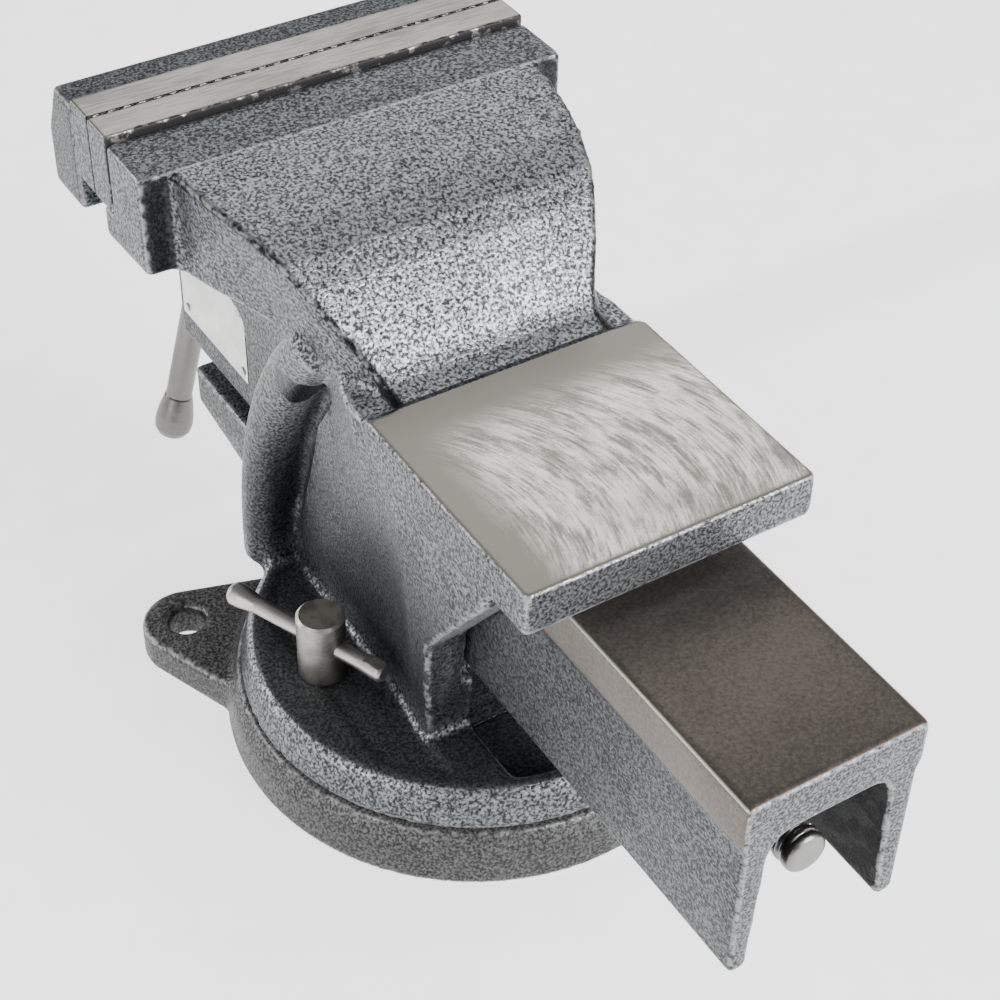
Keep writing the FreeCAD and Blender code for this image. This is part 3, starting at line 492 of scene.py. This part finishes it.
def plate_steel():
    """Ground jaw plates: black where they meet the castings, painted ends, and painted shade at the joint: a
    darkened bevel and dark dashes.
    """
    m = Nodes("ground_plates")
    x, y, z = m.split(m.place())
    lines = m.noise(m.place((0.06, 1, 1)), 1800, detail=4)
    cloud = m.noise(m.place((0.4, 1, 1)), 70, detail=3)
    level = m.weigh((lines, 0.6), (cloud, 0.4))
    colour = m.mix(m.between(level, 0.35, 0.62), (0.24, 0.232, 0.215, 1), (0.44, 0.43, 0.40, 1))
    ragged = m.math("MULTIPLY", m.math("SUBTRACT", m.noise(m.place(), 260, detail=4), 0.5), 0.004)
    from_joint = m.math("ABSOLUTE", m.math("SUBTRACT", y, JAW_MEET * MM))
    black = m.between(m.math("ADD", from_joint, ragged), 0.0122, 0.0128)
    colour = m.mix(black, colour, NEAR_BLACK)
    wave = m.math("SINE", m.math("MULTIPLY", x, 2 * math.pi / (DASH_SPACING * MM)))
    dash = m.both(m.under(from_joint, 0.0009, 0.0004), m.between(wave, -0.45, -0.15))
    # painted shade at the joint between the plates: the bevel is darkened and dark dashes are laid on it
    bevel = m.under(from_joint, 0.0009, 0.0003)
    colour = m.mix(m.math("MULTIPLY", bevel, 0.6), colour, grey(0.09))
    colour = m.mix(m.math("MULTIPLY", dash, 0.9), colour, NEAR_BLACK)
    paint = hammertone(m, grey(0.012, -0.05), grey(0.27, -0.05), COARSE_GRAIN)[0]
    end = m.between(m.math("ABSOLUTE", m.facing(SIDE)), 0.7, 0.9)
    colour = m.mix(end, colour, m.mix(m.under(from_joint, 0.0006, 0.0003), paint, grey(0.05)))
    dull = m.strongest((black, 1.0), (end, 0.7))
    return m.finish(colour, m.blend(dull, 0.36, 0.6), m.blend(dull, 1.0, 0.1), m.bump(level, 0.00006))


# --- castings ---------------------------------------------------------------------------------

class Casting:
    """A CAD solid as distances on a grid, so that it can be rounded the way a casting is."""

    def __init__(self, node, pitch):
        mesh = nodes[node].data
        mesh.calc_loop_triangles()
        points = np.empty(len(mesh.vertices) * 3, np.float32)
        mesh.vertices.foreach_get("co", points)
        faces = np.empty(len(mesh.loop_triangles) * 3, np.int32)
        mesh.loop_triangles.foreach_get("vertices", faces)
        self.pitch = pitch
        self.transform = vdb.createLinearTransform(voxelSize=pitch)
        self.measure(points.reshape(-1, 3), {"triangles": faces.reshape(-1, 3).astype(np.uint32)})

    def measure(self, points, faces):
        self.grid = vdb.FloatGrid.createLevelSetFromPolygons(
            points, transform=self.transform, halfWidth=REACH * MM / self.pitch, **faces)

    def offset(self, amount):
        """Grow the solid by amount, or shrink it if amount is below 0."""
        points, _, quads = self.grid.convertToPolygons(isovalue=amount, adaptivity=0)
        self.measure(points, {"quads": quads})

    def round(self, inner, outer):
        """Fillet the inner corners, then round the outer edges; both radii are in metres."""
        self.offset(inner)
        self.offset(-inner - outer)
        self.offset(outer)
        low, high = self.grid.evalActiveVoxelBoundingBox()
        self.low = np.array(low)
        self.field = np.empty(np.array(high) - self.low + 1, np.float32)
        self.grid.copyToArray(self.field, ijk=tuple(int(i) for i in self.low))

    def coordinates(self):
        """X, Y and Z of the grid in millimetres, ready to broadcast."""
        axes = [(self.low[a] + np.arange(self.field.shape[a])) * self.pitch / MM for a in range(3)]
        return np.meshgrid(*axes, indexing="ij", sparse=True)

    def cut(self, distance):
        """Take a shape away; distance is in millimetres, below 0 inside it."""
        np.maximum(self.field, (-distance * MM).astype(np.float32), out=self.field)

    def add(self, distance):
        np.minimum(self.field, (distance * MM).astype(np.float32), out=self.field)

    def to_object(self, name, body, material):
        limit = self.grid.background
        np.clip(self.field, -limit, limit, out=self.field)
        grid = vdb.FloatGrid(float(limit))
        grid.transform = self.transform
        grid.copyFromArray(self.field, ijk=tuple(int(i) for i in self.low))
        points, _, quads = grid.convertToPolygons(isovalue=0, adaptivity=0)
        mesh = bpy.data.meshes.new(name)
        mesh.from_pydata(points, [], quads[:, ::-1])
        mesh.validate()
        mesh.shade_smooth()
        piece = bpy.data.objects.new(name, mesh)
        bpy.context.scene.collection.objects.link(piece)
        self.mark_edges(mesh, points)
        mesh.materials.append(material)
        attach(piece, body)
        return piece

    def mark_edges(self, mesh, points):
        """An "edge" attribute: above 0 on outer edges, below 0 in inner corners."""
        blurred = self.field
        for _ in range(2):
            for axis in range(3):
                blurred = (np.roll(blurred, 1, axis) + 2 * blurred + np.roll(blurred, -1, axis)) / 4
        last = np.array(self.field.shape) - 1
        cells = np.clip(np.round(points / self.pitch).astype(int) - self.low, 0, last)
        bend = blurred[tuple(cells.T)] - self.field[tuple(cells.T)]
        attribute = mesh.attributes.new("edge", "FLOAT", "POINT")
        attribute.data.foreach_set("value", (bend / self.pitch * 4).astype(np.float32))


def box_distance(grid, low, high, corner_shade=0.0):
    """Distance in millimetres to a box with rounded edges."""
    outside, inside = 0.0, None
    for axis, (a, b) in enumerate(zip(low, high)):
        gap = np.abs(grid[axis] - (a + b) / 2) - (b - a) / 2 + corner_shade
        outside = outside + np.maximum(gap, 0) ** 2
        inside = gap if inside is None else np.maximum(inside, gap)
    return np.sqrt(outside) + np.minimum(inside, 0) - corner_shade


def rod_distance(grid, start, end, radius):
    """Distance in millimetres to a round bar between two points."""
    start, end = np.array(start, float), np.array(end, float)
    way = end - start
    share = sum((grid[a] - start[a]) * way[a] for a in range(3)) / (way @ way)
    share = np.clip(share, 0, 1)
    return np.sqrt(sum((grid[a] - start[a] - share * way[a]) ** 2 for a in range(3))) - radius


def make_swivel_base():
    casting = Casting("swivel_base", CASTING_PITCH)
    casting.round(3.0 * MM, 1.3 * MM)
    piece = casting.to_object("base_casting", "base", paint_base())
    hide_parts("swivel_base")


def mark_crease_shadow(mesh):
    """Store how near each point is to the thin crease along the neck's upper edges, where a painted shadow line
    goes.
    """
    points = np.empty(len(mesh.vertices) * 3, np.float32)
    mesh.vertices.foreach_get("co", points)
    x, y, z = points.reshape(-1, 3).T / MM
    stations, widths, heights = zip(*NECK_EDGE)
    away = np.hypot(np.abs(x) - np.interp(y, stations, widths), z - np.interp(y, stations, heights) + 0.8)
    near = np.clip(2.4 - away, 0, 1) * (y > stations[0] + 0.5) * (y < stations[-1])
    mesh.attributes.new("crease", "FLOAT", "POINT").data.foreach_set("value", near.astype(np.float32))


def make_fixed_body():
    """The body, with its machined faces cut again so that the rounding leaves them sharp."""
    casting = Casting("fixed_body", CASTING_PITCH)
    casting.round(2.6 * MM, 0.8 * MM)
    grid = casting.coordinates()
    casting.add(box_distance(grid, (-ANVIL_HALF, ANVIL_FRONT, ANVIL_LOW), (ANVIL_HALF, ANVIL_BACK, 160), 2.2))
    above_anvil = (-60, ANVIL_FRONT, ANVIL_TOP), (60, 120, 230)
    channel = (-30.3, -150, 63.7), (30.3, 110, 133.1)
    channel_floor = (-24.5, -150, 57), (24.5, 110, 64)
    jaw_seat = (-80, -112, 168.6), (80, -95, 230)
    for low, high in (above_anvil, channel, channel_floor, jaw_seat):
        casting.cut(box_distance(grid, low, high))
    trough = box_distance(grid, (-26.2, 36, 28), (26.2, 90, 60))
    casting.cut(np.maximum(trough, np.hypot(grid[0], grid[1]) - TROUGH_REACH))
    piece = casting.to_object("body_casting", "vise_body", paint_body())
    mark_crease_shadow(piece.data)
    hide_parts("fixed_body")


def make_moving_jaw():
    casting = Casting("moving_jaw", CASTING_PITCH)
    casting.round(3.0 * MM, 0.9 * MM)
    piece = casting.to_object("jaw_casting", "slide", paint_slide())
    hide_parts("moving_jaw")


def make_jaw_plate(node, body, side, material):
    """A jaw plate whose gripping face has crossed grooves; side is the way its body lies."""
    casting = Casting(node, 0.35 * MM)
    casting.round(0.3 * MM, 0.35 * MM)
    x, y, z = casting.coordinates()
    spacing, depth = 3.4, 0.55
    gap = side * (y - JAW_MEET)
    for lean in (1, -1):
        along = (x + lean * z) / math.sqrt(2)
        ridge = np.abs(along / spacing - np.round(along / spacing)) * spacing
        casting.cut((ridge + gap - depth) * 0.7)
    piece = casting.to_object(node + "_grip", body, material)
    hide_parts(node)


def make_lead_screw(material):
    """The lead screw, with a real thread in place of the plain cylinder."""
    casting = Casting("lead_screw", 0.45 * MM)
    casting.round(0.4 * MM, 0.8 * MM)
    x, y, z = casting.coordinates()
    pitch, crest, root = 4.0, 7.0, 5.3
    start, end = -110.0, 168.5
    radius = np.hypot(x, z - SCREW_Z)
    phase = np.mod(y / pitch + np.arctan2(z - SCREW_Z, x) / (2 * math.pi), 1.0)
    slope = np.clip((np.abs(phase - 0.5) - 0.20) / 0.10, 0, 1)
    thread = root + (crest - root) * slope
    run = np.maximum(start - y, y - end)
    casting.cut(np.maximum(thread - radius, run) * 0.8)
    piece = casting.to_object("screw_thread", "screw", material)
    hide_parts("lead_screw")


def make_lock_bar(side, body, material):
    """A lock bar with one end struck flat on its upper side and a groove before the flat."""
    node = "lock_bar_" + side
    casting = Casting(node, 0.25 * MM)
    casting.round(0.5 * MM, 0.5 * MM)
    low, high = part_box(node)
    left, right, end = low.x / MM, high.x / MM, high.y / MM
    grid = casting.coordinates()
    casting.cut(box_distance(grid, (left - 5, end - 6.5, 51.4), (right + 5, end + 5, 60)))
    casting.cut(rod_distance(grid, (left - 9, end - 7.2, 52.2), (right + 9, end - 7.2, 52.2), 1.1))
    piece = casting.to_object(node + "_struck", body, material)
    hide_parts(node)


# --- pieces that keep their CAD shape -----------------------------------------------------------

def dress_nodes():
    """Better metal on the CAD pieces that already have their real shape."""
    zinc = steel("zinc_metal", 0.6, warm=-0.01, rough=0.3)
    wanted = [
        (steel("black_screws", 0.09, rough=0.42), "fixed_jaw_screws moving_jaw_screws"),
        (zinc, "thrust_washer spring_seat_washer spring_collar cotter_pin"),
        (zinc, "nut_bolt nut_washer nameplate_pins"),
        (steel("spring_wire", 0.3, rough=0.35), "thrust_spring"),
        (steel("rough_iron", 0.25, rough=0.6, depth=0.0002), "spindle_nut lock_t_nut_left lock_t_nut_right"),
        (steel("satin_metal", 0.20, warm=0.04, rough=0.36), "main_handle_bar handle_cap_lower handle_cap_upper"),
        (lock_bolt_steel(), "lock_bolt_left lock_bolt_right"),
        (steel("white_metal", 0.8, rough=0.3), "nameplate")]
    for material, names in wanted:
        for node in names.split():
            mesh = nodes[node].data
            mesh.materials.clear()
            mesh.materials.append(material)


make_camera()
make_studio()
make_floor()
make_swivel_base()
make_fixed_body()
make_moving_jaw()
plates = plate_steel()
make_jaw_plate("fixed_jaw_plate", "vise_body", 1, plates)
make_jaw_plate("moving_jaw_plate", "slide", -1, plates)
make_lead_screw(steel("turned_metal", 0.24, rough=0.36))
lock = steel("lock_metal", 0.52, warm=0.04, rough=0.36)
make_lock_bar("left", "lock_bar_l", lock)
make_lock_bar("right", "lock_bar_r", lock)
dress_nodes()
